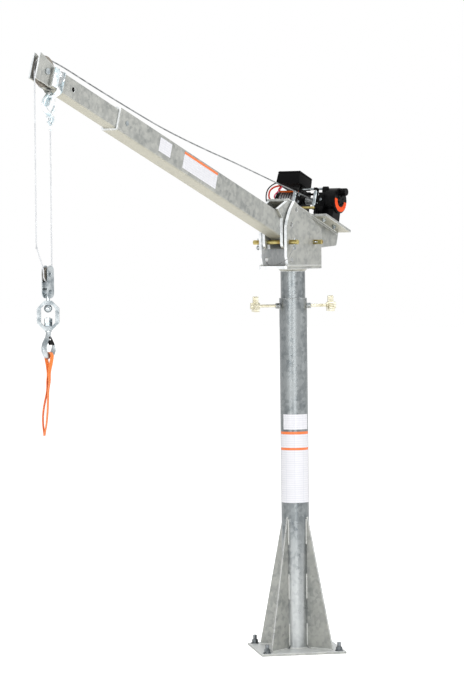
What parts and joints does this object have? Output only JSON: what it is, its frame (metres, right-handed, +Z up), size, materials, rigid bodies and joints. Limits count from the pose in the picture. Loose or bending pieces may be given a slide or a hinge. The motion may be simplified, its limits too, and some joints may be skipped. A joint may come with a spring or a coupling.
{
  "type": "jib crane",
  "caption": "Floor-mounted swinging jib crane with a pinned luffing boom, sliding boom extension, electric winch and hook block.",
  "frame": {"origin": "mast axis at the underside of the base plate", "axes": "+Z up along the mast, +X towards the boom tip as pictured, +Y towards the gearbox side"},
  "size_m": [2.0763, 0.4942, 2.3655],
  "materials": {
    "galvanised": "hot-dip galvanised, dull, lightly mottled",
    "yellow_zinc": "yellow passivated zinc",
    "bright_zinc": "bright zinc plating",
    "black_enamel": "black enamel, satin",
    "motor_metal": "ribbed alloy housing, dull",
    "lead_rubber": "red and black rubber-covered leads",
    "box_plastic": "black moulded plastic",
    "wire_rope": "galvanised wire rope",
    "sheave": "machined iron, slightly brown",
    "webbing": "orange woven webbing"
  },
  "bodies": {
    "base": {"base_plate": "galvanised", "gussets": "galvanised", "lower_mast": "galvanised", "anchor_bolts": "bright_zinc"},
    "lock_screw_left_body": {"lock_screw_left": "yellow_zinc"},
    "lock_screw_right_body": {"lock_screw_right": "yellow_zinc"},
    "head": {"upper_mast": "galvanised", "head_plate": "galvanised", "near_cheek": "galvanised", "far_cheek": "galvanised", "pivot_pin": "yellow_zinc", "lock_pin": "yellow_zinc", "pin_clips": "bright_zinc"},
    "boom": {"outer_boom": "galvanised", "near_root_plate": "galvanised", "far_root_plate": "galvanised", "root_web": "galvanised", "winch_plate": "galvanised", "winch_bolts": "bright_zinc", "winch_frames": "black_enamel", "winch_tie_rods": "bright_zinc", "winch_motor": "motor_metal", "winch_gearbox": "black_enamel", "winch_handle": "black_enamel", "control_box": "box_plastic", "winch_leads": "lead_rubber", "extension_pin": "yellow_zinc", "boom_rope": "wire_rope"},
    "drum": {"winch_drum": "wire_rope"},
    "boom_tip": {"inner_boom": "galvanised", "tip_plates": "galvanised", "sheave_pin": "bright_zinc", "anchor_strap": "bright_zinc"},
    "upper_sheave": {"tip_sheave": "sheave"},
    "load": {"anchor_hook": "bright_zinc", "return_rope": "wire_rope", "fall_rope": "wire_rope", "block_plates": "bright_zinc", "block_bolts": "bright_zinc", "swivel_eye": "bright_zinc"},
    "lower_sheave": {"block_sheave": "sheave"},
    "hook": {"swivel_frame": "bright_zinc", "load_hook": "bright_zinc", "pull_strap": "webbing"},
    "latch": {"hook_latch": "black_enamel"}
  },
  "joints": [
    {"name": "slew", "type": "hinge", "parent": "base", "child": "head", "pos_m": [0, 0, 1.45], "axis": [0, 0, 1], "continuous": true},
    {"name": "boom_luff", "type": "hinge", "parent": "head", "child": "boom", "pos_m": [-0.063, 0, 1.68], "axis": [0, -1, 0], "range_deg": [0, 44]},
    {"name": "boom_extend", "type": "slide", "parent": "boom", "child": "boom_tip", "axis": [0.9461, 0, 0.3239], "range_m": [-0.345, 0.345], "deforming": ["boom_rope"]},
    {"name": "winch_drum_turn", "type": "hinge", "parent": "boom", "child": "drum", "pos_m": [-0.19436, 0, 1.85065], "axis": [0, 1, 0], "continuous": true},
    {"name": "tip_sheave_turn", "type": "hinge", "parent": "boom_tip", "child": "upper_sheave", "pos_m": [1.7124, 0, 2.29843], "axis": [0, 1, 0], "continuous": true},
    {"name": "load_hang", "type": "hinge", "parent": "boom_tip", "child": "load", "pos_m": [1.67532, 0, 2.21068], "axis": [0, -1, 0], "range_deg": [-44, 0], "deforming": ["fall_rope"]},
    {"name": "block_sheave_turn", "type": "hinge", "parent": "load", "child": "lower_sheave", "pos_m": [1.70037, 0, 1.568], "axis": [0, 1, 0], "continuous": true},
    {"name": "hook_swivel", "type": "hinge", "parent": "load", "child": "hook", "pos_m": [1.70037, 0, 1.475], "axis": [0, 0, 1], "continuous": true},
    {"name": "hook_latch_open", "type": "hinge", "parent": "hook", "child": "latch", "pos_m": [1.70037, 0, 1.342], "axis": [-0.1564, -0.9877, 0], "range_deg": [0, 38], "stiffness_Nm_per_rad": 0.02, "springref_deg": -34.38},
    {"name": "lock_screw_left_turn", "type": "hinge", "parent": "base", "child": "lock_screw_left_body", "pos_m": [0, 0, 1.418], "axis": [0.6639, -0.7478, 0], "continuous": true},
    {"name": "lock_screw_right_turn", "type": "hinge", "parent": "base", "child": "lock_screw_right_body", "pos_m": [0, 0, 1.418], "axis": [-0.6639, 0.7478, 0], "continuous": true}
  ],
  "couplings": [
    {"joint": "load_hang", "follows": "boom_luff", "ratio": -1}
  ]
}
